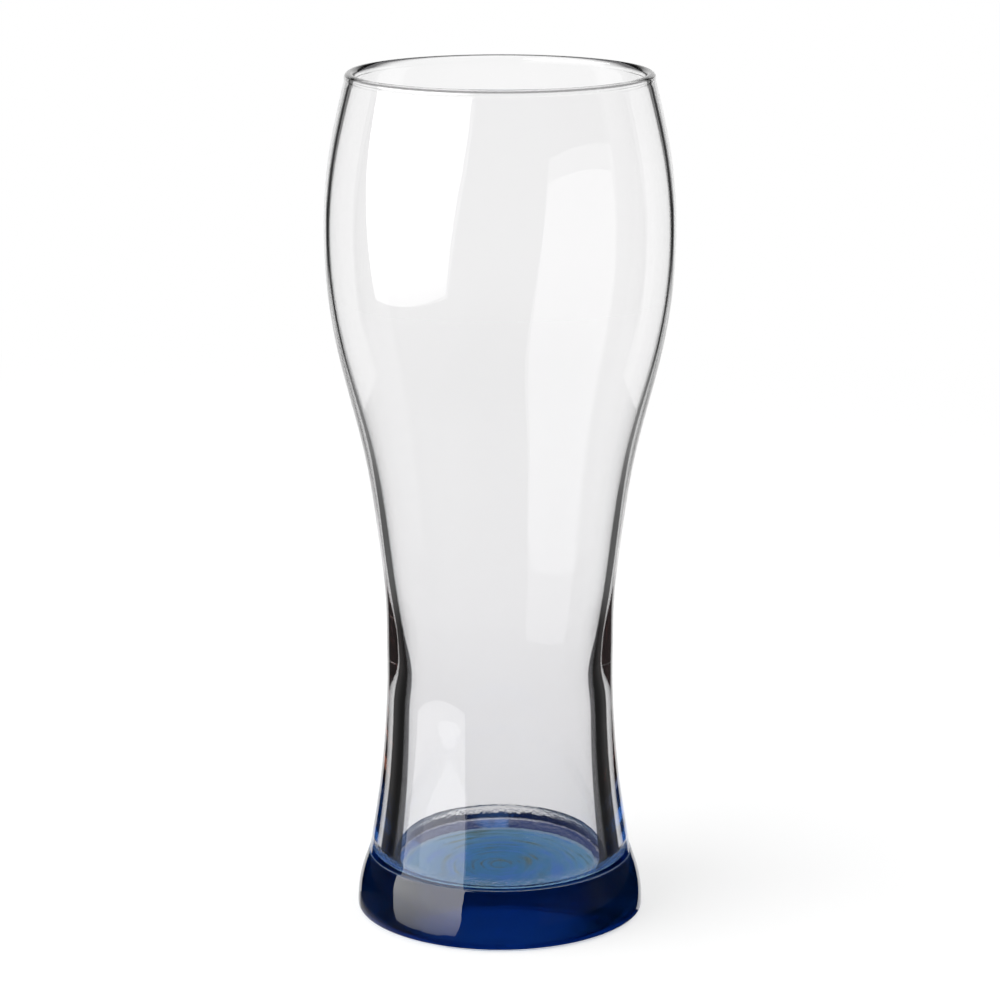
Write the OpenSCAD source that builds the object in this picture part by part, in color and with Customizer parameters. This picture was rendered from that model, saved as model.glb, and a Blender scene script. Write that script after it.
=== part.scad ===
// Tall beer glass: a clear glass vessel with a translucent blue coat under its thick foot.
// Millimetres, +Z up, origin at the centre of the flat ring that the glass stands on.
// The wall is set by stations, named from the foot up. Each has a rise above the station
// below it, an outside diameter and a wall, and a smooth curve runs through them all.

/* [Foot] */
// Height of the foot line, the crease where the foot meets the wall
foot_line_h = 14; // [11:0.5:18]
// Outside diameter at the foot line
foot_line_d = 62.3; // [59:0.1:66]
// Wall between the bore and the foot line
foot_line_wall = 5.7; // [4:0.1:7]
// How far the foot stands out past the foot line
foot_flare = 2.9; // [1:0.1:6]
// Rounding of the foot's lower edge
heel_r = 1.2; // [0.8:0.1:3]
// Width of the flat ring that the glass stands on
ring_w = 7.6; // [4:0.1:9]
// Depth of the hollow under the foot
hollow_h = 1; // [0.8:0.1:2]
// Height of the bore's floor above the table
floor_h = 12.4; // [10:0.1:14]
// Rounding between the bore's floor and its wall
floor_corner_r = 1.7; // [1:0.1:3]

/* [Blue coat] */
// Thickness of the blue coat under the foot
coat_t = 0.3; // [0.1:0.05:0.6]

/* [Ankle] */
// Height of the ankle above the foot line
ankle_rise = 18; // [14:0.5:22]
// Outside diameter at the ankle
ankle_d = 56.8; // [54:0.1:60]
// Wall at the ankle
ankle_wall = 4.8; // [3.5:0.1:6]

/* [Shank] */
// Height of the shank above the ankle
shank_rise = 18; // [14:0.5:22]
// Outside diameter at the shank
shank_d = 53.8; // [52:0.1:56]
// Wall at the shank
shank_wall = 4.2; // [3:0.1:5.5]

/* [Throat] */
// Height of the throat, where the bore is narrowest, above the shank
throat_rise = 7; // [5:0.5:10]
// Outside diameter at the throat
throat_d = 53.3; // [52:0.1:56]
// Wall at the throat
throat_wall = 4; // [3:0.1:5.5]

/* [Collar] */
// Height of the collar above the throat
collar_rise = 8; // [6:0.5:11]
// Outside diameter at the collar
collar_d = 53.4; // [52:0.1:56]
// Wall at the collar
collar_wall = 3.3; // [2.5:0.1:4.5]

/* [Upper waist] */
// Height of the upper waist above the collar
waist_rise = 9; // [7:0.5:12]
// Outside diameter at the upper waist
waist_d = 53.6; // [52:0.1:57]
// Wall at the upper waist
waist_wall = 2.5; // [1.8:0.1:3.5]

/* [Swell] */
// Height of the swell, where the bowl starts to open, above the upper waist
swell_rise = 16; // [12:0.5:20]
// Outside diameter at the swell
swell_d = 56.7; // [54:0.1:60]
// Wall at the swell
swell_wall = 2.2; // [1.5:0.1:3.2]

/* [Flare] */
// Height of the flare above the swell
flare_rise = 22; // [17:0.5:27]
// Outside diameter at the flare
flare_d = 63.6; // [60:0.1:67]
// Wall at the flare
flare_wall = 1.9; // [1.2:0.1:3]

/* [Shoulder] */
// Height of the shoulder above the flare
shoulder_rise = 24; // [19:0.5:29]
// Outside diameter at the shoulder
shoulder_d = 75.4; // [71:0.1:78]
// Wall at the shoulder
shoulder_wall = 1.3; // [1:0.1:2.5]

/* [Belly] */
// Height of the belly, the widest part, above the shoulder
belly_rise = 26; // [20:0.5:32]
// Outside diameter at the belly
belly_d = 81; // [78:0.1:84]
// Wall at the belly
belly_wall = 1.2; // [0.9:0.1:2.5]

/* [Neck] */
// Height of the neck above the belly
neck_rise = 18; // [14:0.5:22]
// Outside diameter at the neck
neck_d = 78.6; // [75:0.1:81]
// Wall at the neck
neck_wall = 1.7; // [1:0.1:3]

/* [Rim] */
// Height of the middle of the rim's bead above the neck
rim_rise = 18.5; // [14:0.5:24]
// Outside diameter of the rim's bead
rim_d = 71; // [66:0.1:76]
// Thickness of the rim's bead
bead_t = 2.4; // [2.2:0.1:3.4]
// Wall just under the bead
lip_wall = 2.1; // [1.2:0.1:2.2]

/* [Hidden] */
$fn = 180;

// Straight steps that each curved stretch of the outline is drawn with
wall_steps = 60;
arc_steps = 10;

glass_colour = [0.88, 0.91, 0.93, 0.35];
coat_colour = [0.02, 0.13, 0.5, 0.8];

// Stations of the wall from the foot line to the rim
station_rise = [
    foot_line_h, ankle_rise, shank_rise, throat_rise, collar_rise, waist_rise,
    swell_rise, flare_rise, shoulder_rise, belly_rise, neck_rise, rim_rise
];
station_wall = [
    foot_line_wall, ankle_wall, shank_wall, throat_wall, collar_wall, waist_wall,
    swell_wall, flare_wall, shoulder_wall, belly_wall, neck_wall, lip_wall
];
lip_d = rim_d - bead_t + lip_wall;
station_r = [
    foot_line_d, ankle_d, shank_d, throat_d, collar_d, waist_d,
    swell_d, flare_d, shoulder_d, belly_d, neck_d, lip_d
] / 2;
station_h = running_sum(station_rise);
lip_h = station_h[len(station_h) - 1];
bead_r = bead_t / 2;

// Foot: a side arc that stands upright at the heel, a rounded heel, the flat ring and the hollow.
// The coat ends on the heel, at its own thickness above the table.
foot_line_r = foot_line_d / 2;
foot_r = foot_line_r + foot_flare;
side_h = foot_line_h - heel_r;
side_r = (foot_flare ^ 2 + side_h ^ 2) / (2 * foot_flare);
side_angle = asin(side_h / side_r);
ring_outer_r = foot_r - heel_r;
hollow_edge_r = ring_outer_r - ring_w;
hollow_r = (hollow_edge_r ^ 2 + hollow_h ^ 2) / (2 * hollow_h);
hollow_centre_h = hollow_h - hollow_r;
coat_edge_angle = asin(coat_t / heel_r - 1);

// Bore: it ends in a rounded corner and a flat floor
bore_foot_h = floor_h + floor_corner_r;

function running_sum(steps, i = 0, below = 0) =
    i == len(steps) ? [] :
    concat([below + steps[i]], running_sum(steps, i + 1, below + steps[i]));

function reversed(points) = [for (i = [len(points) - 1 : -1 : 0]) points[i]];

function arc(centre, r, from, to) =
    [for (i = [0 : arc_steps])
        let (a = from + (to - from) * i / arc_steps)
        centre + r * [cos(a), sin(a)]];

// The smooth curve is a natural cubic spline. Its bend at each station comes from
// one sweep up the stations and one back down.
function chord(h, v, i) = (v[i + 1] - v[i]) / (h[i + 1] - h[i]);

function sweep_up(h, v, i, share, bend) =
    i == len(h) - 1 ? [] :
    let (
        below = h[i] - h[i - 1],
        above = h[i + 1] - h[i],
        turn = 6 * (chord(h, v, i) - chord(h, v, i - 1)),
        pivot = 2 * (below + above) - below * share,
        next_share = above / pivot,
        next_bend = (turn - below * bend) / pivot
    )
    concat([[next_share, next_bend]], sweep_up(h, v, i + 1, next_share, next_bend));

function sweep_down(rows, i) =
    i == len(rows) ? [0] :
    let (above = sweep_down(rows, i + 1))
    concat([rows[i][1] - rows[i][0] * above[0]], above);

function bends(h, v) = concat([0], sweep_down(sweep_up(h, v, 1, 0, 0), 0));

function span(h, at) = max([for (i = [0 : len(h) - 2]) if (i == 0 || h[i] <= at) i]);

function curve(h, v, bend, at) =
    let (
        i = span(h, at),
        width = h[i + 1] - h[i],
        a = (h[i + 1] - at) / width,
        b = (at - h[i]) / width
    )
    a * v[i] + b * v[i + 1] + ((a ^ 3 - a) * bend[i] + (b ^ 3 - b) * bend[i + 1]) * width ^ 2 / 6;

outer_bends = bends(station_h, station_r);
wall_bends = bends(station_h, station_wall);

function outer_r(at) = curve(station_h, station_r, outer_bends, at);
function bore_r(at) = outer_r(at) - curve(station_h, station_wall, wall_bends, at);
function wall_heights(from, to) = [for (i = [0 : wall_steps]) from + (to - from) * i / wall_steps];

// Outline of the foot from the foot line down its side and round the heel to the coat's edge
foot_side = concat(
    arc([foot_r - side_r, heel_r], side_r, side_angle - side_angle / arc_steps, 0),
    arc([ring_outer_r, heel_r], heel_r, coat_edge_angle / arc_steps, coat_edge_angle)
);

// Outline of the coat's own edge, on round the heel to the flat ring
coat_edge = arc([ring_outer_r, heel_r], heel_r, coat_edge_angle, -90);

// Outline of the hollow from the ring in to the axis, thickened by lift
function hollow_outline(lift) =
    let (
        lifted_r = hollow_r + lift,
        lifted_angle = asin((lift - hollow_centre_h) / lifted_r)
    )
    arc([0, hollow_centre_h], lifted_r, lifted_angle, 90);

module glass_vessel() {
    outside = [for (at = wall_heights(foot_line_h, lip_h)) [outer_r(at), at]];
    bore = [for (at = wall_heights(lip_h, bore_foot_h)) [bore_r(at), at]];
    corner_centre = [bore_r(bore_foot_h) - floor_corner_r, bore_foot_h];
    corner = arc(corner_centre, floor_corner_r, -90 / arc_steps, -90);
    color(glass_colour)
        rotate_extrude()
            union() {
                polygon(concat(
                    outside, bore, corner, [[0, floor_h]],
                    reversed(concat(foot_side, hollow_outline(coat_t)))
                ));
                translate([rim_d / 2 - bead_r, lip_h])
                    circle(r = bead_r);
            }
}

module blue_coat() {
    color(coat_colour)
        rotate_extrude()
            polygon(concat(coat_edge, hollow_outline(0), reversed(hollow_outline(coat_t))));
}

glass_vessel();
blue_coat();
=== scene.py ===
import math

import bpy
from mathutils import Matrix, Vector


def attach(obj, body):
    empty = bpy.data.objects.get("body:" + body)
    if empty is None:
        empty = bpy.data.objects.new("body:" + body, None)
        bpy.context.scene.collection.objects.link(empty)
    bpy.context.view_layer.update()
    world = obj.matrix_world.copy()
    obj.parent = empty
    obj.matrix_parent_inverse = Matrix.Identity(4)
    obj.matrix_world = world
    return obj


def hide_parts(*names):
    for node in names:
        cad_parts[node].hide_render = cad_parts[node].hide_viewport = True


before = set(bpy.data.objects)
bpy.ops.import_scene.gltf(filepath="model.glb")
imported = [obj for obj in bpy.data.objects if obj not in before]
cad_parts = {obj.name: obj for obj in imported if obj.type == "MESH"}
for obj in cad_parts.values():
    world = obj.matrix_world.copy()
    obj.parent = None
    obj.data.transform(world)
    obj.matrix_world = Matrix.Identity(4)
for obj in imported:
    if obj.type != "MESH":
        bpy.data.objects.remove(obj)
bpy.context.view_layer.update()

bl_info = {
    "name": "Beer Glass with Blue Foot",
    "version": (1, 0, 0),
    "blender": (4, 5, 0),
    "location": "3D View > Sidebar > Beer Glass",
    "description": "Turns a tall clear beer glass, coats its foot in blue and sets up a white studio",
    "category": "Object",
}

MM = 0.001
SPIN_AXIS = (0.0, 0.0, 1.0)
GLASS_IOR = 1.52
COAT_IOR = 1.33
# The hairline between glass and coat doesn't bend light, so that the two look bonded
BONDED_IOR = 1.0
RIPPLE_DEPTH = 0.03 * MM
# Heights over which the tints of the whole glass and of its lower wall are graded
GRADED_HEIGHT = 200 * MM
LOWER_HEIGHT = 100 * MM


def mm(*values):
    """Millimetres as metres, for property defaults."""
    return tuple(v * MM for v in values)


class GlassSizes(bpy.types.PropertyGroup):
    """Sizes of the clear vessel, station by station from the foot line to the rim."""

    station_heights: bpy.props.FloatVectorProperty(
        name="Station Heights",
        description="Height of each station above the table, from the foot line to the bead's middle",
        size=12, unit="LENGTH",
        default=mm(14, 32, 50, 57, 65, 74, 90, 112, 136, 162, 180, 198.5),
    )
    station_diameters: bpy.props.FloatVectorProperty(
        name="Station Diameters",
        description="Outside diameter of the wall at each station",
        size=12, unit="LENGTH",
        default=mm(62.3, 56.8, 53.8, 53.3, 53.4, 53.6, 56.7, 63.6, 75.4, 81, 78.6, 70.7),
    )
    station_walls: bpy.props.FloatVectorProperty(
        name="Station Walls",
        description="Thickness of the wall at each station",
        size=12, unit="LENGTH",
        default=mm(5.7, 4.8, 4.2, 4, 3.3, 2.5, 2.2, 1.9, 1.3, 1.2, 1.7, 2.1),
    )
    rim_diameter: bpy.props.FloatProperty(
        name="Rim Diameter", description="Outside diameter of the rim's bead",
        unit="LENGTH", default=71.0 * MM,
    )
    bead_thickness: bpy.props.FloatProperty(
        name="Bead Thickness", description="Thickness of the rim's bead",
        unit="LENGTH", default=2.4 * MM,
    )
    bead_blend: bpy.props.FloatProperty(
        name="Bead Blend", description="How far below the bead's middle the bead runs out into the wall",
        unit="LENGTH", default=2.2 * MM,
    )
    floor_height: bpy.props.FloatProperty(
        name="Floor Height", description="Height of the bore's floor above the table",
        unit="LENGTH", default=12.4 * MM,
    )
    floor_corner: bpy.props.FloatProperty(
        name="Floor Corner", description="Rounding between the bore's floor and its wall",
        unit="LENGTH", default=1.7 * MM,
    )
    sides: bpy.props.IntProperty(
        name="Sides", description="Number of steps round the turned pieces",
        min=48, max=256, default=224,
    )
    glass_colour: bpy.props.FloatVectorProperty(
        name="Glass Colour", description="Tint of the clear glass",
        subtype="COLOR", size=4, min=0, max=1, default=(1.0, 0.998, 1.0, 1.0),
    )
    thick_colour: bpy.props.FloatVectorProperty(
        name="Thick Colour", description="Tint of the clear glass where the wall is thick",
        subtype="COLOR", size=4, min=0, max=1, default=(0.885, 0.883, 0.893, 1.0),
    )
    # Painted shade: the dark that the belly, rim and bore lines mix into the glass's colour
    painted_edge_shade: bpy.props.FloatVectorProperty(
        name="Painted Edge Shade", description="How dark the thick wall gets where it is seen edge on",
        subtype="COLOR", size=4, min=0, max=1, default=(0.03, 0.03, 0.032, 1.0),
    )
    # Painted shade mixed into the foot's side where it turns away
    shade_colour: bpy.props.FloatVectorProperty(
        name="Shade Colour", description="Tint of the foot's side where it turns away",
        subtype="COLOR", size=4, min=0, max=1, default=(0.26, 0.28, 0.18, 1.0),
    )


class FootSizes(bpy.types.PropertyGroup):
    """Sizes and colours of the foot and of the blue coat under it."""

    foot_flare: bpy.props.FloatProperty(
        name="Foot Flare", description="How far the foot stands out past the foot line",
        unit="LENGTH", default=2.9 * MM,
    )
    line_width: bpy.props.FloatProperty(
        name="Line Width", description="Width of the fine raised line where the foot meets the wall",
        unit="LENGTH", default=0.28 * MM,
    )
    heel_radius: bpy.props.FloatProperty(
        name="Heel Radius", description="Rounding of the foot's lower edge",
        unit="LENGTH", default=1.2 * MM,
    )
    ring_width: bpy.props.FloatProperty(
        name="Ring Width", description="Width of the flat ring that the glass stands on",
        unit="LENGTH", default=7.6 * MM,
    )
    hollow_depth: bpy.props.FloatProperty(
        name="Hollow Depth", description="Depth of the hollow under the foot",
        unit="LENGTH", default=1.0 * MM,
    )
    coat_thickness: bpy.props.FloatProperty(
        name="Coat Thickness", description="Thickness of the blue coat",
        unit="LENGTH", default=0.3 * MM,
    )
    film_gap: bpy.props.FloatProperty(
        name="Film Gap", description="Hairline kept between the coat and the glass above it",
        unit="LENGTH", default=0.02 * MM,
    )
    skin_colour: bpy.props.FloatVectorProperty(
        name="Skin Colour", description="Tint of the coat's lower skin",
        subtype="COLOR", size=4, min=0, max=1, default=(0.38, 0.62, 0.97, 1.0),
    )
    skin_clearness: bpy.props.FloatProperty(
        name="Skin Clearness", description="Share of the light that the coat's lower skin lets through",
        subtype="FACTOR", min=0, max=1, default=0.5,
    )
    teal: bpy.props.FloatVectorProperty(
        name="Teal", description="Tint of most of the coat",
        subtype="COLOR", size=4, min=0, max=1, default=(0.09, 0.40, 0.68, 1.0),
    )
    pale_teal: bpy.props.FloatVectorProperty(
        name="Pale Teal", description="Tint of the thinner coat towards the standing ring",
        subtype="COLOR", size=4, min=0, max=1, default=(0.40, 0.85, 1.0, 1.0),
    )
    # Also painted on the coat for light that was mirrored more than once
    royal_blue: bpy.props.FloatVectorProperty(
        name="Royal Blue", description="Tint of the coat's bright streaks",
        subtype="COLOR", size=4, min=0, max=1, default=(0.10, 0.33, 1.0, 1.0),
    )
    olive: bpy.props.FloatVectorProperty(
        name="Olive", description="Tint of the coat's dull streaks",
        subtype="COLOR", size=4, min=0, max=1, default=(0.27, 0.32, 0.13, 1.0),
    )
    # Painted shade: the coat takes this for light that was piped down inside the wall
    brown: bpy.props.FloatVectorProperty(
        name="Brown", description="Tint of the coat as seen down through the thick wall",
        subtype="COLOR", size=4, min=0, max=1, default=(0.42, 0.15, 0.10, 1.0),
    )
    # Painted shade: the coat's blue darkened where the standing ring rests on the table
    ring_shade_blue: bpy.props.FloatVectorProperty(
        name="Ring Shade Blue", description="Tint of the coat on the standing ring",
        subtype="COLOR", size=4, min=0, max=1, default=(0.002, 0.014, 0.14, 1.0),
    )
    pale: bpy.props.FloatVectorProperty(
        name="Pale", description="Tint of the thin coat on the edge of the standing ring",
        subtype="COLOR", size=4, min=0, max=1, default=(1.0, 1.0, 0.92, 1.0),
    )
    navy: bpy.props.FloatVectorProperty(
        name="Navy", description="Tint of the coat where the view runs along it",
        subtype="COLOR", size=4, min=0, max=1, default=(0.0024, 0.023, 0.165, 1.0),
    )


class StudioSizes(bpy.types.PropertyGroup):
    """Camera, floor, lamps and the cards that the glass mirrors."""

    camera_distance: bpy.props.FloatProperty(
        name="Camera Distance", description="Distance of the camera in front of the glass's axis",
        unit="LENGTH", default=0.8007,
    )
    camera_height: bpy.props.FloatProperty(
        name="Camera Height", description="Height of the camera above the table",
        unit="LENGTH", default=0.2936,
    )
    camera_pitch: bpy.props.FloatProperty(
        name="Camera Pitch", description="How far the camera looks down",
        subtype="ANGLE", default=math.radians(13.631),
    )
    lens: bpy.props.FloatProperty(
        name="Lens", description="Focal length in millimetres on a 36 mm sensor",
        default=126.75,
    )
    floor_colour: bpy.props.FloatVectorProperty(
        name="Floor Colour", description="Colour of the pale floor",
        subtype="COLOR", size=4, min=0, max=1, default=(0.9, 0.9, 0.9, 1.0),
    )
    softbox_radiance: bpy.props.FloatProperty(
        name="Softbox Brightness", description="Brightness of the softbox, where 1 is paper white",
        default=4.8,
    )
    softbox_turn: bpy.props.FloatProperty(
        name="Softbox Turn", description="Where the softbox stands round the glass, from the camera's side",
        subtype="ANGLE", default=math.radians(-63),
    )
    softbox_low: bpy.props.FloatVectorProperty(
        name="Softbox Low End", description="Distance from the axis and height of the softbox's low end",
        size=2, unit="LENGTH", default=(1.907, -0.481),
    )
    softbox_high: bpy.props.FloatVectorProperty(
        name="Softbox High End", description="Distance from the axis and height of the softbox's high end",
        size=2, unit="LENGTH", default=(1.0, 0.9),
    )
    softbox_width: bpy.props.FloatProperty(
        name="Softbox Width", description="Width of the softbox",
        unit="LENGTH", default=2.0,
    )
    twin_radiance: bpy.props.FloatProperty(
        name="Twin Brightness", description="Brightness of the softbox's twin, where 1 is paper white",
        default=1.2,
    )
    twin_gap: bpy.props.FloatProperty(
        name="Twin Gap", description="How far the twin hangs in front of the softbox",
        unit="LENGTH", default=20 * MM,
    )
    overhead_radiance: bpy.props.FloatProperty(
        name="Overhead Brightness", description="Brightness of the overhead lamp, where 1 is paper white",
        default=3.0,
    )
    overhead_height: bpy.props.FloatProperty(
        name="Overhead Height", description="Height of the overhead lamp above the table",
        unit="LENGTH", default=2.0,
    )
    overhead_size: bpy.props.FloatProperty(
        name="Overhead Size", description="Side of the square overhead lamp",
        unit="LENGTH", default=1.5,
    )
    reflector_level: bpy.props.FloatProperty(
        name="Reflector Level", description="Brightness of the two reflectors, where 1 is paper white",
        default=0.72,
    )
    reflector_turn: bpy.props.FloatProperty(
        name="Reflector Turn", description="How far either reflector stands round from straight behind",
        subtype="ANGLE", default=math.radians(65),
    )
    reflector_distance: bpy.props.FloatProperty(
        name="Reflector Distance", description="Distance of the reflectors from the axis",
        unit="LENGTH", default=146 * MM,
    )
    reflector_height: bpy.props.FloatProperty(
        name="Reflector Height", description="Height of the reflectors' middle above the table",
        unit="LENGTH", default=155 * MM,
    )
    reflector_size: bpy.props.FloatVectorProperty(
        name="Reflector Size", description="Width and height of a reflector",
        size=2, unit="LENGTH", default=mm(90, 190),
    )
    flag_distance: bpy.props.FloatProperty(
        name="Flag Distance", description="Distance of the black flag in front of the axis",
        unit="LENGTH", default=127 * MM,
    )
    flag_size: bpy.props.FloatVectorProperty(
        name="Flag Size", description="Width and height of the black flag, which stands on the table",
        size=2, unit="LENGTH", default=mm(133, 85),
    )
    mat_radius: bpy.props.FloatProperty(
        name="Mat Radius", description="Radius of the dark mat under the glass",
        unit="LENGTH", default=150 * MM,
    )
    wedge_start: bpy.props.FloatProperty(
        name="Wedge Start", description="How far in front of the axis the mat's pale wedge starts",
        unit="LENGTH", default=6 * MM,
    )
    wedge_reach: bpy.props.FloatProperty(
        name="Wedge Reach", description="How far the pale wedge reaches to either side beside the axis",
        unit="LENGTH", default=38 * MM,
    )
    wedge_spread: bpy.props.FloatProperty(
        name="Wedge Spread", description="How much further it reaches for each metre towards the back",
        default=0.36,
    )
    gap_turn: bpy.props.FloatProperty(
        name="Gap Turn", description="Where the mat is open, round from the camera's side to the left",
        subtype="ANGLE", default=math.radians(62),
    )
    gap_reach: bpy.props.FloatProperty(
        name="Gap Reach", description="How far the mat's opening reaches either way",
        subtype="ANGLE", default=math.radians(40),
    )


def natural_spline(heights, values):
    """Smooth curve through the stations, as a function of height."""
    n = len(heights)
    share, bend = [0.0] * n, [0.0] * n
    for i in range(1, n - 1):
        below, above = heights[i] - heights[i - 1], heights[i + 1] - heights[i]
        turn = 6 * ((values[i + 1] - values[i]) / above - (values[i] - values[i - 1]) / below)
        pivot = 2 * (below + above) - below * share[i - 1]
        share[i] = above / pivot
        bend[i] = (turn - below * bend[i - 1]) / pivot
    for i in range(n - 2, 0, -1):
        bend[i] -= share[i] * bend[i + 1]

    def curve(at):
        i = max([0] + [k for k in range(n - 1) if heights[k] <= at])
        width = heights[i + 1] - heights[i]
        a, b = (heights[i + 1] - at) / width, (at - heights[i]) / width
        return (a * values[i] + b * values[i + 1]
                + ((a ** 3 - a) * bend[i] + (b ** 3 - b) * bend[i + 1]) * width ** 2 / 6)

    return curve


def steps(start, end, count):
    return [start + (end - start) * i / count for i in range(count + 1)]


def arc(centre, radius, start, end, count):
    """Points on an arc, as (radius from the axis, height)."""
    return [(centre[0] + radius * math.cos(a), centre[1] + radius * math.sin(a))
            for a in steps(start, end, count)]


def blend(a, control, b, count):
    """Points of a smooth bend from a to b that leaves and arrives towards the control point."""
    return [tuple((1 - t) ** 2 * p + 2 * t * (1 - t) * c + t * t * q
                  for p, c, q in zip(a, control, b)) for t in steps(0.0, 1.0, count)]


def meeting_point(a, a_way, b, b_way):
    """Where the line from a along a_way meets the line from b along b_way."""
    cross = a_way[0] * b_way[1] - a_way[1] * b_way[0]
    t = ((b[0] - a[0]) * b_way[1] - (b[1] - a[1]) * b_way[0]) / cross
    return a[0] + a_way[0] * t, a[1] + a_way[1] * t


class FootShape:
    """Outlines of the foot's side, of the coat's edge on the heel and of the hollow."""

    def __init__(self, sizes, foot):
        self.heel_r = foot.heel_radius
        self.foot_r = sizes.station_diameters[0] / 2 + foot.foot_flare
        self.side_h = sizes.station_heights[0] - self.heel_r
        self.side_r = (foot.foot_flare ** 2 + self.side_h ** 2) / (2 * foot.foot_flare)
        self.ring_r = self.foot_r - self.heel_r
        self.edge_r = self.ring_r - foot.ring_width
        self.hollow_r = (self.edge_r ** 2 + foot.hollow_depth ** 2) / (2 * foot.hollow_depth)
        self.hollow_h = foot.hollow_depth - self.hollow_r

    def heel_angle(self, height):
        return math.asin(height / self.heel_r - 1)

    def side(self, height):
        """From below the foot line down the side and round the heel to the given height."""
        top = math.asin(self.side_h / self.side_r)
        side = arc((self.foot_r - self.side_r, self.heel_r), self.side_r, top, 0.0, 24)
        heel = arc((self.ring_r, self.heel_r), self.heel_r, 0.0, self.heel_angle(height), 8)
        return side[1:] + heel[1:]

    def coat_edge(self, height):
        """Round the heel from the given height to the flat ring."""
        return arc((self.ring_r, self.heel_r), self.heel_r, self.heel_angle(height), -math.pi / 2, 6)

    def hollow(self, lift):
        """From the ring in to the axis, raised by lift."""
        cap_r = self.hollow_r + lift
        cap_angle = math.asin((lift - self.hollow_h) / cap_r)
        return arc((0.0, self.hollow_h), cap_r, cap_angle, math.pi / 2, 28)


def vessel_outline(sizes, foot):
    """Outline of the vessel: from the middle of its floor up the bore, over the bead, down and under."""
    heights = list(sizes.station_heights)
    outer = natural_spline(heights, [d / 2 for d in sizes.station_diameters])
    wall = natural_spline(heights, list(sizes.station_walls))

    def bore(at):
        return outer(at) - wall(at)

    lip_h = heights[-1]
    bead_r = sizes.bead_thickness / 2
    bead = (sizes.rim_diameter / 2 - bead_r, lip_h)
    bore_foot = sizes.floor_height + sizes.floor_corner
    corner = (bore(bore_foot) - sizes.floor_corner, bore_foot)
    neck_h = lip_h - sizes.bead_blend
    lean = 0.1 * MM

    floor = [(r, sizes.floor_height) for r in steps(0.0, corner[0], 8)]
    rounding = arc(corner, sizes.floor_corner, -math.pi / 2, 0.0, 16)
    inside = [(bore(h), h) for h in steps(bore_foot, neck_h, 112)]
    outside = [(outer(h), h) for h in steps(neck_h, heights[0], 124)]

    start, end = math.radians(212), math.radians(-20)
    bead_in = (bead[0] + bead_r * math.cos(start), bead[1] + bead_r * math.sin(start))
    bead_out = (bead[0] + bead_r * math.cos(end), bead[1] + bead_r * math.sin(end))
    way_in = (bore(neck_h + lean) - bore(neck_h), lean)
    way_out = (outer(neck_h + lean) - outer(neck_h), lean)
    join_in = meeting_point(inside[-1], way_in, bead_in, (math.sin(start), -math.cos(start)))
    join_out = meeting_point(outside[0], way_out, bead_out, (math.sin(end), -math.cos(end)))
    rise = blend(inside[-1], join_in, bead_in, 8)
    crown = arc(bead, bead_r, start, end, 36)
    fall = blend(bead_out, join_out, outside[0], 8)

    shape = FootShape(sizes, foot)
    line = foot.line_width / 2
    line_centre = (outside[-1][0] - 0.15 * line, heights[0])
    foot_line = arc(line_centre, line, math.radians(95), math.radians(-70), 16)
    under = foot.coat_thickness + foot.film_gap / 2
    return (floor + rounding[1:] + inside[1:] + rise[1:] + crown[1:] + fall[1:] + outside[1:-1]
            + foot_line + shape.side(under) + shape.hollow(under))


def turned_piece(name, outline, sides):
    """Turn an outline about the Z axis: a point is drawn out along the outline, then spun."""
    bpy.ops.object.select_all(action="DESELECT")
    bpy.ops.mesh.primitive_plane_add(size=0.01)
    piece = bpy.context.object
    piece.name = piece.data.name = name
    bpy.ops.object.mode_set(mode="EDIT")
    bpy.ops.mesh.select_all(action="SELECT")
    bpy.ops.mesh.merge(type="CENTER")
    bpy.ops.transform.translate(value=(outline[0][0], 0.0, outline[0][1]))
    for a, b in zip(outline, outline[1:]):
        bpy.ops.mesh.extrude_region_move(
            TRANSFORM_OT_translate={"value": (b[0] - a[0], 0.0, b[1] - a[1])})
    bpy.ops.mesh.select_all(action="SELECT")
    bpy.ops.mesh.spin(steps=sides, angle=math.tau, center=(0, 0, 0), axis=SPIN_AXIS)
    bpy.ops.mesh.select_all(action="SELECT")
    bpy.ops.mesh.remove_doubles(threshold=0.002 * MM)
    bpy.ops.mesh.delete_loose(use_verts=True, use_edges=True, use_faces=False)
    bpy.ops.mesh.select_all(action="SELECT")
    bpy.ops.mesh.normals_make_consistent(inside=False)
    bpy.ops.object.mode_set(mode="OBJECT")
    bpy.ops.object.shade_smooth_by_angle(angle=math.radians(11))
    return piece


def node(tree, kind, inputs=None, **settings):
    """Add a shader node, set it up, and set or link its inputs."""
    made = tree.nodes.new("ShaderNode" + kind)
    for key, value in settings.items():
        setattr(made, key, value)
    for key, value in (inputs or {}).items():
        if isinstance(value, bpy.types.NodeSocket):
            tree.links.new(value, made.inputs[key])
        else:
            made.inputs[key].default_value = value
    return made


def math_node(tree, operation, a, b=0.0):
    return node(tree, "Math", {0: a, 1: b}, operation=operation).outputs[0]


def multiply(tree, first, *others):
    for other in others:
        first = math_node(tree, "MULTIPLY", first, other)
    return first


def away_from(tree, value, middle):
    """How far a value is from a middle, either way."""
    return math_node(tree, "ABSOLUTE", math_node(tree, "SUBTRACT", value, middle))


def mix(tree, factor, a, b, blend_type="MIX"):
    """Colour a turned into colour b by a factor."""
    made = node(tree, "Mix", {"Factor": factor, "A": a, "B": b}, data_type="RGBA", blend_type=blend_type)
    return made.outputs["Result"]


def fade(tree, value, start, end, top=1.0, interpolation_type="SMOOTHSTEP"):
    """0 before the start, the top value past the end, and a ramp between."""
    return node(tree, "MapRange", {"Value": value, "From Min": start, "From Max": end, "To Max": top},
                interpolation_type=interpolation_type).outputs[0]


def straight_fade(tree, value, start, end, top=1.0):
    return fade(tree, value, start, end, top, "LINEAR")


def noise(tree, place, scale, detail, roughness=0.5):
    return node(tree, "TexNoise", {"Vector": place, "Scale": scale, "Detail": detail,
                                   "Roughness": roughness}).outputs[0]


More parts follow.
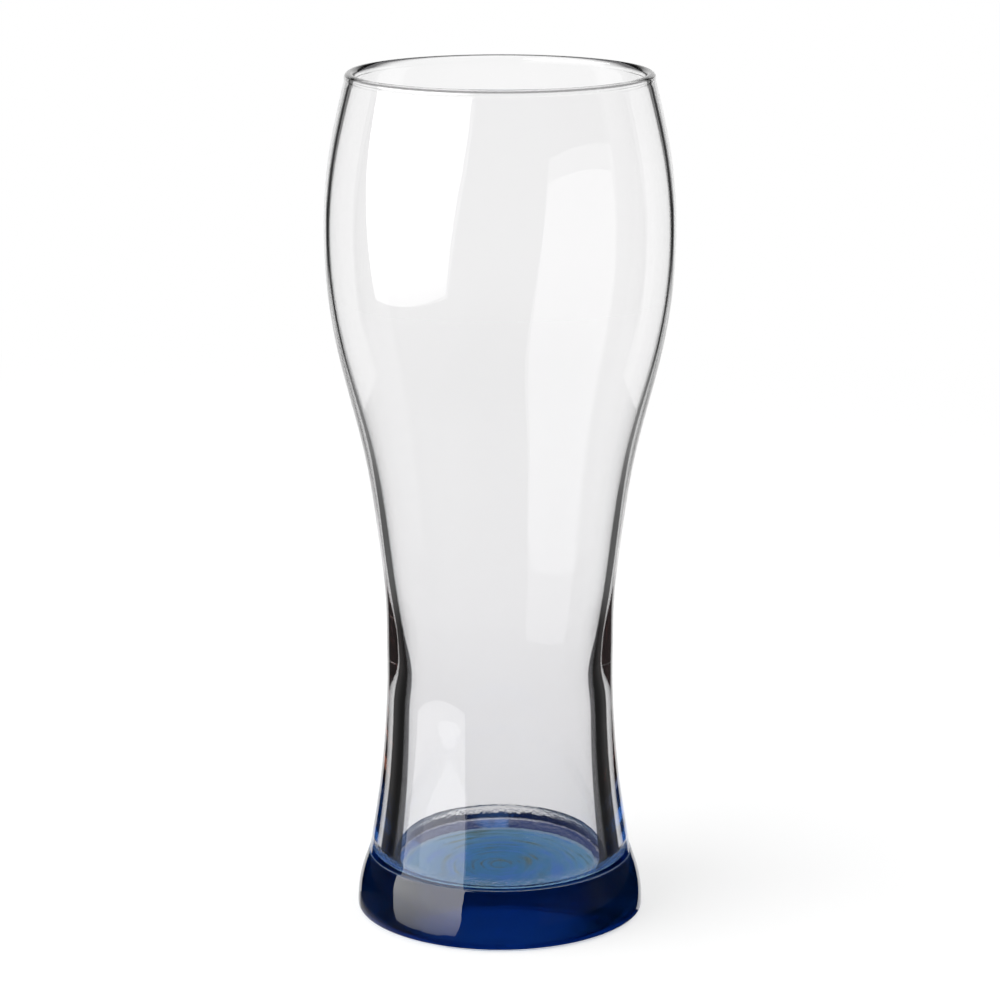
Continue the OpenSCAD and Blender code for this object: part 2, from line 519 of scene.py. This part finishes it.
def ramp(tree, factor, stops):
    """Grey ramp with its stops given as (position, level)."""
    made = node(tree, "ValToRGB", {0: factor})
    while len(made.color_ramp.elements) < len(stops):
        made.color_ramp.elements.new(0.5)
    for stop, (position, level) in zip(made.color_ramp.elements, stops):
        stop.position = position
        stop.color = (level, level, level, 1)
    return made.outputs["Color"]


def own_place(tree):
    """Place on the piece, in the piece's own coordinates."""
    return tree.nodes.new("ShaderNodeTexCoord").outputs["Object"]


def polar(tree, place):
    """Distance from the axis, and the direction round it as two smooth values."""
    parts = node(tree, "SeparateXYZ", {0: place})
    x, y = parts.outputs["X"], parts.outputs["Y"]
    radius = math_node(tree, "SQRT", math_node(tree, "ADD", multiply(tree, x, x), multiply(tree, y, y)))
    soft_centre = 4 * MM
    reach = math_node(tree, "ADD", radius, soft_centre)
    return radius, math_node(tree, "DIVIDE", x, reach), math_node(tree, "DIVIDE", y, reach)


def turned_away(tree):
    """0 where a surface faces the view and 1 where it is seen edge on."""
    return tree.nodes.new("ShaderNodeLayerWeight").outputs["Facing"]


def from_inside(tree):
    return tree.nodes.new("ShaderNodeNewGeometry").outputs["Backfacing"]


def from_outside(tree):
    return math_node(tree, "SUBTRACT", 1.0, from_inside(tree))


def mirrorings(tree):
    """How many times the light was mirrored on its way to the view."""
    return tree.nodes.new("ShaderNodeLightPath").outputs["Glossy Depth"]


def mirrored(tree):
    """1 for light that was mirrored at least once, and 0 for a straight view."""
    return math_node(tree, "GREATER_THAN", mirrorings(tree), 0.5)


def chill_rings(tree, place, height):
    """Ragged rings that the cold mould leaves in the corner between the bore's floor and its wall."""
    around, across = 26.0, 1300.0
    radius, turn_x, turn_y = polar(tree, place)
    slope = math_node(tree, "SUBTRACT", height, radius)
    way = node(tree, "CombineXYZ", {0: multiply(tree, turn_x, around), 1: multiply(tree, turn_y, around),
                                    2: multiply(tree, slope, across)}).outputs[0]
    within_bore = straight_fade(tree, radius, 27 * MM, 26.5 * MM)
    off_middle = straight_fade(tree, radius, 22.5 * MM, 24.5 * MM)
    low = straight_fade(tree, height, 15.5 * MM, 13.8 * MM)
    rings = noise(tree, way, scale=1.0, detail=3.0, roughness=0.6)
    relief = 14.0
    return multiply(tree, rings, within_bore, off_middle, low, relief)


def moulded_surface(sizes):
    """Group for the ripples and tiny specks of pressed glass and the chill rings in the bore."""
    group = bpy.data.node_groups.new("moulded_surface", "ShaderNodeTree")
    for name in ("Fine Ripple", "Foot Ripple"):
        group.interface.new_socket(name, in_out="INPUT", socket_type="NodeSocketFloat")
    group.interface.new_socket("Height", in_out="OUTPUT", socket_type="NodeSocketFloat")
    given = group.nodes.new("NodeGroupInput").outputs
    result = group.nodes.new("NodeGroupOutput").inputs
    place = own_place(group)
    height = node(group, "SeparateXYZ", {0: place}).outputs["Z"]
    foot_line, soft = sizes.station_heights[0], 0.4 * MM
    on_foot = straight_fade(group, height, foot_line + soft, foot_line - soft)

    fine_ripple = multiply(group, noise(group, place, scale=420.0, detail=2.0), given["Fine Ripple"])
    foot_wave = noise(group, place, scale=160.0, detail=2.0)
    foot_ripple = multiply(group, foot_wave, on_foot, given["Foot Ripple"])
    seeds = node(group, "TexVoronoi", {"Vector": place, "Scale": 330.0})
    pick = node(group, "SeparateColor", {0: seeds.outputs["Color"]}).outputs["Red"]
    seeds_without, speck_radius, speck_relief = 0.9, 0.035, 1.2
    chosen = math_node(group, "GREATER_THAN", pick, seeds_without)
    dot = math_node(group, "LESS_THAN", seeds.outputs["Distance"], speck_radius)
    specks = multiply(group, chosen, dot, on_foot, speck_relief)

    total = noise(group, place, scale=38.0, detail=1.0)
    for relief in (fine_ripple, foot_ripple, specks, chill_rings(group, place, height)):
        total = math_node(group, "ADD", total, relief)
    group.links.new(total, result["Height"])
    return group


def glass_material(name, colour, ior):
    """Plain transmissive material with its shader's sockets set."""
    made = bpy.data.materials.new(name)
    made.use_nodes = True
    shader = made.node_tree.nodes["Principled BSDF"]
    shader.inputs["Base Color"].default_value = colour
    shader.inputs["Roughness"].default_value = 0.0
    shader.inputs["IOR"].default_value = ior
    shader.inputs["Transmission Weight"].default_value = 1.0
    return made, made.node_tree, shader


def ripple(tree, shader, surface, fine, foot):
    """Lay the moulded surface on a material as bump."""
    group = tree.nodes.new("ShaderNodeGroup")
    group.node_tree = surface
    group.inputs["Fine Ripple"].default_value = fine
    group.inputs["Foot Ripple"].default_value = foot
    bump = node(tree, "Bump", {"Height": group.outputs["Height"], "Strength": 1.0, "Distance": RIPPLE_DEPTH})
    tree.links.new(bump.outputs[0], shader.inputs["Normal"])


def wall_tint(tree, sizes):
    """Height on the glass, and its tint by height: the thick lower wall is greyer than the thin bowl."""
    height = node(tree, "SeparateXYZ", {0: own_place(tree)}).outputs["Z"]
    share = ramp(tree, math_node(tree, "DIVIDE", height, GRADED_HEIGHT),
                 [(0.2, 0.0), (0.29, 0.21), (0.34, 0.38), (0.47, 0.67), (0.58, 0.8), (0.75, 1.0)])
    return height, mix(tree, share, sizes.thick_colour, sizes.glass_colour)


def belly_painted_line(tree, sizes, height, clear):
    """Painted shade: a thin dark line mixed into the belly wall's colour just inside its outline, by facing
    angle.
    """
    share = math_node(tree, "DIVIDE", height, GRADED_HEIGHT)
    middle = ramp(tree, share, [(0.70, 0.92), (0.735, 0.89), (0.765, 0.855), (0.80, 0.815), (0.9, 0.80)])
    on_belly = ramp(tree, share, [(0.70, 0.0), (0.73, 1.0), (0.85, 1.0), (0.90, 0.0)])
    line = fade(tree, away_from(tree, turned_away(tree), middle), 0.055, 0.02)
    return mix(tree, multiply(tree, line, on_belly, from_outside(tree)), clear, sizes.painted_edge_shade)


def foot_shade(tree, sizes, height, clear):
    """Painted shade on the foot's side where it turns away from the view, mixed in by facing angle."""
    foot_line = sizes.station_heights[0]
    past_bore = sizes.station_diameters[0] / 2 - sizes.station_walls[0] / 2
    below_line = straight_fade(tree, height, foot_line, foot_line - 0.6 * MM)
    above_heel = straight_fade(tree, height, 1.5 * MM, 2 * MM)
    on_side = math_node(tree, "GREATER_THAN", polar(tree, own_place(tree))[0], past_bore)
    turned = fade(tree, turned_away(tree), 0.03, 0.27)
    share = multiply(tree, turned, below_line, above_heel, on_side, from_outside(tree))
    return mix(tree, share, clear, sizes.shade_colour)


def rim_painted_lines(tree, sizes, height, clear):
    """Painted shade: dark lines mixed into the rim's colour, on its inner side towards the crest and on its
    outer side just under it.
    """
    lip_h = sizes.station_heights[-1]
    middle = (sizes.rim_diameter - sizes.bead_thickness) / 2
    outer = math_node(tree, "GREATER_THAN", polar(tree, own_place(tree))[0], middle)
    on_bead = straight_fade(tree, height, lip_h - 0.2 * MM, lip_h + 0.3 * MM)
    crest = fade(tree, turned_away(tree), 0.22, 0.5)
    under = fade(tree, away_from(tree, height, lip_h + 0.72 * MM), 0.34 * MM, 0.12 * MM, 0.85)
    line = node(tree, "Mix", {"Factor": outer, "A": crest, "B": under}).outputs[0]
    return mix(tree, multiply(tree, line, on_bead, from_outside(tree)), clear, sizes.painted_edge_shade)


def clear_glass(sizes, surface):
    """Glass of the outside, the rim, the foot's side and the bore's floor."""
    made, tree, shader = glass_material("clear_glass", sizes.glass_colour, GLASS_IOR)
    height, tint = wall_tint(tree, sizes)
    # Painted shade: the belly and rim lines and the foot's shaded side are mixed into the glass's colour
    for shade in (belly_painted_line, foot_shade, rim_painted_lines):
        tint = shade(tree, sizes, height, tint)
    tree.links.new(tint, shader.inputs["Base Color"])
    ripple(tree, shader, surface, fine=0.01, foot=1.3)
    return made


def bore_glass(sizes, surface):
    """Glass of the bore, with painted shade: seen edge on through the thick wall, its colour is mixed
    towards the dark edge shade by facing angle.
    """
    made, tree, shader = glass_material("bore_glass", sizes.glass_colour, GLASS_IOR)
    height, clear = wall_tint(tree, sizes)
    limit = ramp(tree, math_node(tree, "DIVIDE", height, LOWER_HEIGHT),
                 [(0.20, 0.2150), (0.45, 0.2195), (0.62, 0.2222), (0.66, 0.2270),
                  (0.70, 0.2365), (0.74, 0.2405), (1.0, 0.2440)])
    over = math_node(tree, "SUBTRACT", turned_away(tree), limit)
    dark = multiply(tree, fade(tree, over, -0.0025, 0.0035), from_inside(tree))
    tree.links.new(mix(tree, dark, clear, sizes.painted_edge_shade), shader.inputs["Base Color"])
    ripple(tree, shader, surface, fine=0.05, foot=0.0)
    return made


class BEERGLASS_OT_turn_vessel(bpy.types.Operator):
    """Turn the clear vessel with its bead, bore and foot"""

    bl_idname = "beerglass.turn_vessel"
    bl_label = "Turn Vessel"

    def execute(self, context):
        sizes, foot = context.scene.glass_sizes, context.scene.foot_sizes
        vessel = turned_piece("clear_vessel", vessel_outline(sizes, foot), sizes.sides)
        surface = moulded_surface(sizes)
        bonded = glass_material("glass_on_coat", (1, 1, 1, 1), BONDED_IOR)[0]
        for slot in (clear_glass(sizes, surface), bore_glass(sizes, surface), bonded):
            vessel.data.materials.append(slot)
        bead_foot = sizes.station_heights[-1] - sizes.bead_blend
        for face in vessel.data.polygons:
            r, h = math.hypot(face.center.x, face.center.y), face.center.z
            lean = (face.normal.x * face.center.x + face.normal.y * face.center.y) / max(r, 1e-6)
            if sizes.floor_height < h < bead_foot and lean < -0.3:
                face.material_index = 1
            elif h < sizes.floor_height / 2 and face.normal.z < -0.9:
                face.material_index = 2
        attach(vessel, "root")
        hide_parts("glass_vessel")
        return {"FINISHED"}


def streaked_tint(tree, foot, place, radius, turn_x, turn_y):
    """Teal that pales towards the standing ring, with dull and bright streaks round the axis."""
    across = 620.0
    way = node(tree, "CombineXYZ", {0: turn_x, 1: turn_y, 2: multiply(tree, radius, across)}).outputs[0]
    streaks = noise(tree, way, scale=1.0, detail=3.0, roughness=0.6)
    patches = noise(tree, place, scale=95.0, detail=2.0)
    mixed = node(tree, "Mix", {"Factor": 0.35, "A": streaks, "B": patches}).outputs[0]
    tint = mix(tree, fade(tree, radius, 10 * MM, 25 * MM, 0.8), foot.teal, foot.pale_teal)
    for colour, start, end in ((foot.olive, 0.47, 0.38), (foot.royal_blue, 0.52, 0.60)):
        tint = mix(tree, straight_fade(tree, mixed, start, end, 0.9), tint, colour)
    return tint


def ring_tint(tree, foot, edge_r, tint, place, radius, turn_x, turn_y):
    """Deep blue, as painted shade on the coat where the standing ring rests on the table, with bright runs,
    and a pale ragged line along its inner edge.
    """
    ragged = math_node(tree, "SUBTRACT", noise(tree, place, scale=900.0, detail=2.0), 0.5)
    edge = math_node(tree, "ADD", radius, multiply(tree, ragged, 1.6 * MM))
    round_axis = node(tree, "CombineXYZ", {0: turn_x, 1: turn_y}).outputs[0]
    turns = noise(tree, round_axis, scale=2.2, detail=3.0)
    ring = mix(tree, straight_fade(tree, turns, 0.48, 0.56), foot.ring_shade_blue, foot.royal_blue)
    tint = mix(tree, straight_fade(tree, edge, edge_r - 0.05 * MM, edge_r + 0.35 * MM), tint, ring)
    off_edge = away_from(tree, edge, edge_r + 0.05 * MM)
    return mix(tree, straight_fade(tree, off_edge, 0.9 * MM, 0.35 * MM), tint, foot.pale)


def film_material(foot, edge_r):
    """Upper face of the coat: streaked, navy where the view runs along it, with bright blue painted for
    light that was mirrored more than once and brown painted shade for light that was piped down inside the
    wall."""
    made, tree, shader = glass_material("blue_film", foot.teal, BONDED_IOR)
    place = own_place(tree)
    spot = (place, *polar(tree, place))
    tint = ring_tint(tree, foot, edge_r, streaked_tint(tree, foot, *spot), *spot)
    tint = mix(tree, fade(tree, turned_away(tree), 0.30, 0.55), tint, foot.navy)
    times = mirrorings(tree)
    # Painted light and shade: bright blue for light mirrored more than once, brown shade for light piped
    # down inside the wall
    for colour, least in ((foot.royal_blue, 1.5), (foot.brown, 6.5)):
        tint = mix(tree, math_node(tree, "GREATER_THAN", times, least), tint, colour)
    tree.links.new(tint, shader.inputs["Base Color"])
    return made


class BEERGLASS_OT_coat_foot(bpy.types.Operator):
    """Lay the blue coat under the foot"""

    bl_idname = "beerglass.coat_foot"
    bl_label = "Coat Foot"

    def execute(self, context):
        sizes, foot = context.scene.glass_sizes, context.scene.foot_sizes
        shape = FootShape(sizes, foot)
        top = foot.coat_thickness - foot.film_gap / 2
        outline = shape.hollow(top)[::-1] + shape.coat_edge(top) + shape.hollow(0.0)
        coat = turned_piece("foot_coat", outline, sizes.sides)
        skin, _, shader = glass_material("blue_skin", foot.skin_colour, COAT_IOR)
        shader.inputs["Transmission Weight"].default_value = foot.skin_clearness
        for slot in (skin, film_material(foot, shape.edge_r)):
            coat.data.materials.append(slot)
        for face in coat.data.polygons:
            face.material_index = 1 if face.normal.z > 0.5 else 0
        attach(coat, "root")
        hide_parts("blue_coat")
        return {"FINISHED"}


def white_surroundings():
    """White all round for a straight view. Reflections see a white backdrop between dark flags."""
    world = bpy.data.worlds.new("white_studio")
    bpy.context.scene.world = world
    world.use_nodes = True
    tree = world.node_tree
    background = tree.nodes["Background"]
    background.inputs["Strength"].default_value = 1.0
    path = tree.nodes.new("ShaderNodeLightPath").outputs

    parts = node(tree, "SeparateXYZ", {0: tree.nodes.new("ShaderNodeTexCoord").outputs["Generated"]})
    turn = math_node(tree, "ARCTAN2", math_node(tree, "ABSOLUTE", parts.outputs["X"]), parts.outputs["Y"])
    turn = math_node(tree, "DIVIDE", turn, math.pi)
    rise = math_node(tree, "DIVIDE", math_node(tree, "ARCSINE", parts.outputs["Z"]), math.pi)
    rise = math_node(tree, "ADD", rise, 0.5)

    def surround(aside, above):
        """Brightness by degrees from straight ahead times brightness by degrees above the horizon."""
        around = ramp(tree, turn, [(a / 180, v) for a, v in aside])
        upward = ramp(tree, rise, [(a / 180 + 0.5, v) for a, v in above])
        return mix(tree, 1.0, around, upward, "MULTIPLY")

    in_wall = surround([(0, 1.0), (22, 1.0), (25, 0.055), (31, 0.055), (36, 0.033), (41, 0.016), (46, 0.009),
                        (52, 0.012), (58, 0.12), (75, 0.19), (100, 0.05), (180, 0.05)],
                       [(-90, 1.0), (30, 1.0), (38, 0.1), (90, 0.1)])
    in_bore = surround([(0, 1.0), (50, 0.75), (68, 0.6), (91, 0.36), (120, 0.22), (180, 0.2)],
                       [(-90, 1.0), (8, 1.0), (17, 0.05), (90, 0.05)])
    level = surround([(0, 1.0), (20, 1.0), (25, 0.03), (78, 0.03), (91, 0.1), (110, 0.04), (180, 0.03)],
                     [(-90, 0.0), (-22, 0.0), (-17, 1.0), (14, 1.0), (24, 0.05), (90, 0.05)])
    below = surround([(0, 1.0), (50, 0.75), (68, 0.65), (91, 0.2), (120, 0.05), (180, 0.03)],
                     [(-90, 1.0), (-22, 1.0), (-17, 0.0), (90, 0.0)])
    on_outside = mix(tree, 1.0, level, below, "ADD")

    faces_passed = path["Transmission Depth"]
    wall_only = math_node(tree, "COMPARE", faces_passed, 2.0)
    wall_only.node.inputs[2].default_value = 0.5
    reflection = mix(tree, wall_only, in_bore, in_wall)
    reflection = mix(tree, math_node(tree, "LESS_THAN", faces_passed, 0.5), reflection, on_outside)
    piped = math_node(tree, "GREATER_THAN", path["Glossy Depth"], 2.5)
    reflection = mix(tree, piped, reflection, (0.04, 0.04, 0.04, 1))
    seen = mix(tree, mirrored(tree), (1, 1, 1, 1), reflection)

    shown = path["Is Camera Ray"]
    for kind in ("Is Glossy Ray", "Is Transmission Ray"):
        shown = math_node(tree, "MAXIMUM", shown, path[kind])
    tree.links.new(mix(tree, shown, (0.5, 0.5, 0.5, 1), seen), background.inputs["Color"])


def bare_material(name):
    """Material with nothing but its output."""
    made = bpy.data.materials.new(name)
    made.use_nodes = True
    made.node_tree.nodes.remove(made.node_tree.nodes["Principled BSDF"])
    return made, made.node_tree


def show(tree, factor, first, second):
    """Show the second of two shaders by a factor, and the first for the rest."""
    shown = node(tree, "MixShader", {0: factor, 1: first.outputs[0], 2: second.outputs[0]})
    tree.links.new(shown.outputs[0], tree.nodes["Material Output"].inputs["Surface"])
    return shown


def lay_floor(studio):
    """Pale floor that keeps shadows. Mirrored light goes through it to the surroundings."""
    bpy.ops.mesh.primitive_grid_add(x_subdivisions=8, y_subdivisions=8, size=16,
                                    location=(0, 0, -0.1 * MM))
    floor = bpy.context.object
    floor.name = floor.data.name = "floor"
    made, tree = bare_material("pale_floor")
    paint = node(tree, "BsdfDiffuse", {"Color": studio.floor_colour})
    glow = node(tree, "Emission", {"Color": (1, 1, 1, 1)})
    away = node(tree, "VectorMath", {0: own_place(tree)}, operation="LENGTH").outputs["Value"]
    share = node(tree, "MapRange", {"Value": away, "From Min": 0.2, "From Max": 0.7,
                                    "To Min": 0.6, "To Max": 1.0}).outputs[0]
    lit = show(tree, share, paint, glow)
    show(tree, mirrored(tree), lit, tree.nodes.new("ShaderNodeBsdfTransparent"))
    floor.data.materials.append(made)


def area_lamp(name, location, target, size, radiance):
    """Rectangular lamp at a brightness where 1 is paper white."""
    location, target = Vector(location), Vector(target)
    bpy.ops.object.light_add(type="AREA", location=location)
    lamp = bpy.context.object
    lamp.name = lamp.data.name = name
    lamp.rotation_euler = (target - location).to_track_quat("-Z", "Y").to_euler()
    lamp.data.shape = "RECTANGLE"
    lamp.data.size, lamp.data.size_y = size
    lamp.data.energy = radiance * math.pi * size[0] * size[1]
    return lamp


def colour_lamp(lamp, colour):
    """Give a lamp the colour that a function makes in the lamp's own nodes."""
    lamp.data.use_nodes = True
    tree = lamp.data.node_tree
    tree.links.new(colour(tree), tree.nodes["Emission"].inputs["Color"])


def softbox_grade(tree):
    """The softbox is dimmer towards its low end."""
    spot = node(tree, "SeparateXYZ", {0: tree.nodes.new("ShaderNodeNewGeometry").outputs["Parametric"]})
    return ramp(tree, spot.outputs["Y"], [(0.0, 0.31), (0.02, 0.34), (0.078, 0.42), (0.363, 0.67),
                                          (0.54, 0.94), (0.706, 1.0)])


def hang_lamps(studio):
    """Hang the softbox, its weaker twin for light mirrored inside the glass, and the overhead lamp."""
    side = studio.softbox_turn
    low, high = (Vector((away * math.sin(side), -away * math.cos(side), up))
                 for away, up in (studio.softbox_low, studio.softbox_high))
    centre = (low + high) / 2
    size = (studio.softbox_width, (high - low).length)
    along = Vector((math.cos(side), math.sin(side), 0.0))
    towards_glass = (high - low).normalized().cross(along)
    softbox = area_lamp("softbox", centre, centre + towards_glass, size, studio.softbox_radiance)
    colour_lamp(softbox, softbox_grade)
    softbox.visible_transmission = False

    in_front = centre - studio.twin_gap * centre.normalized()
    twin = area_lamp("softbox_inside", in_front, in_front + towards_glass, size, studio.twin_radiance)
    colour_lamp(twin, mirrored)
    twin.visible_glossy = twin.visible_diffuse = False

    top = area_lamp("overhead", (0.0, 0.0, studio.overhead_height), (0, 0, 0),
                    (studio.overhead_size, studio.overhead_size), studio.overhead_radiance)
    top.visible_glossy = top.visible_transmission = False


def mirror_only(name, scale, level):
    """Make the active object a card of even brightness that only mirror images show."""
    card = bpy.context.object
    card.name = card.data.name = name
    card.scale = scale
    made, tree = bare_material(name)
    glow = node(tree, "Emission", {"Color": (1, 1, 1, 1), "Strength": level})
    show(tree, mirrored(tree), tree.nodes.new("ShaderNodeBsdfTransparent"), glow)
    card.data.materials.append(made)
    for kind in ("camera", "diffuse", "transmission", "volume_scatter", "shadow"):
        setattr(card, "visible_" + kind, False)
    return card


def cut_mat(studio, tree):
    """Leave the mat pale straight behind the glass, where the wall's outline mirrors it, open towards
    the softbox and dark elsewhere."""
    parts = node(tree, "SeparateXYZ", {0: own_place(tree)})
    x, y = parts.outputs["X"], parts.outputs["Y"]
    reach = math_node(tree, "ADD", multiply(tree, y, studio.wedge_spread), studio.wedge_reach)
    within = math_node(tree, "LESS_THAN", math_node(tree, "ABSOLUTE", x), reach)
    behind = math_node(tree, "GREATER_THAN", y, -studio.wedge_start)
    tree.links.new(multiply(tree, within, behind), tree.nodes["Emission"].inputs["Color"])
    turn = math_node(tree, "ARCTAN2", multiply(tree, x, -1.0), multiply(tree, y, -1.0))
    gap = math_node(tree, "LESS_THAN", away_from(tree, turn, studio.gap_turn), studio.gap_reach)
    show(tree, gap, tree.nodes["Mix Shader"], tree.nodes.new("ShaderNodeBsdfTransparent"))


def set_cards(studio):
    """Set the cards that only show mirrored in the glass: two reflectors, a black flag and a mat."""
    for turn in (-studio.reflector_turn, studio.reflector_turn):
        bpy.ops.mesh.primitive_plane_add(
            size=1, rotation=(math.pi / 2, 0.0, -turn),
            location=(studio.reflector_distance * math.sin(turn),
                      studio.reflector_distance * math.cos(turn), studio.reflector_height))
        reflector = mirror_only("reflector", (*studio.reflector_size, 1.0), studio.reflector_level)
        reflector.visible_transmission = True
    wide, high = studio.flag_size
    bpy.ops.mesh.primitive_plane_add(
        size=1, rotation=(math.pi / 2, 0.0, 0.0), location=(0.0, -studio.flag_distance, high / 2))
    mirror_only("flag", (wide, high, 1.0), 0.0)
    bpy.ops.mesh.primitive_circle_add(vertices=64, radius=studio.mat_radius, fill_type="NGON",
                                      location=(0, 0, -0.05 * MM))
    mat = mirror_only("dark_mat", (1.0, 1.0, 1.0), 1.0)
    cut_mat(studio, mat.data.materials[0].node_tree)


class BEERGLASS_OT_set_stage(bpy.types.Operator):
    """Set the camera, floor, white surroundings, lamps and cards"""

    bl_idname = "beerglass.set_stage"
    bl_label = "Set Stage"

    def execute(self, context):
        studio = context.scene.studio_sizes
        scene = context.scene
        bpy.ops.object.camera_add(
            location=(0.0, -studio.camera_distance, studio.camera_height),
            rotation=(math.pi / 2 - studio.camera_pitch, 0.0, 0.0))
        camera = bpy.context.object
        camera.data.lens, camera.data.sensor_width = studio.lens, 36.0
        camera.data.clip_start, camera.data.clip_end = 0.01, 50.0
        scene.camera = camera

        lay_floor(studio)
        white_surroundings()
        hang_lamps(studio)
        set_cards(studio)

        scene.view_settings.view_transform = "Standard"
        scene.cycles.max_bounces = 32
        scene.cycles.transmission_bounces = 32
        scene.cycles.glossy_bounces = 24
        scene.cycles.transparent_max_bounces = 16
        return {"FINISHED"}


class BEERGLASS_PT_sidebar(bpy.types.Panel):
    """Sizes, colours and build steps of the beer glass"""

    bl_idname = "BEERGLASS_PT_sidebar"
    bl_label = "Beer Glass"
    bl_space_type = "VIEW_3D"
    bl_region_type = "UI"
    bl_category = "Beer Glass"

    def draw(self, context):
        layout = self.layout
        for name, group in SETTINGS.items():
            box = layout.box()
            box.label(text=name.replace("_", " ").title())
            for key in group.__annotations__:
                box.prop(getattr(context.scene, name), key)
        for step in STEPS:
            layout.operator(step.bl_idname)


SETTINGS = {"glass_sizes": GlassSizes, "foot_sizes": FootSizes, "studio_sizes": StudioSizes}
STEPS = (BEERGLASS_OT_turn_vessel, BEERGLASS_OT_coat_foot, BEERGLASS_OT_set_stage)
CLASSES = (*SETTINGS.values(), *STEPS, BEERGLASS_PT_sidebar)


def register():
    for each in CLASSES:
        bpy.utils.register_class(each)
    for name, group in SETTINGS.items():
        setattr(bpy.types.Scene, name, bpy.props.PointerProperty(type=group))


def unregister():
    for name in SETTINGS:
        delattr(bpy.types.Scene, name)
    for each in reversed(CLASSES):
        bpy.utils.unregister_class(each)


def main():
    register()
    bpy.ops.beerglass.turn_vessel()
    bpy.ops.beerglass.coat_foot()
    bpy.ops.beerglass.set_stage()


if __name__ == "__main__":
    main()
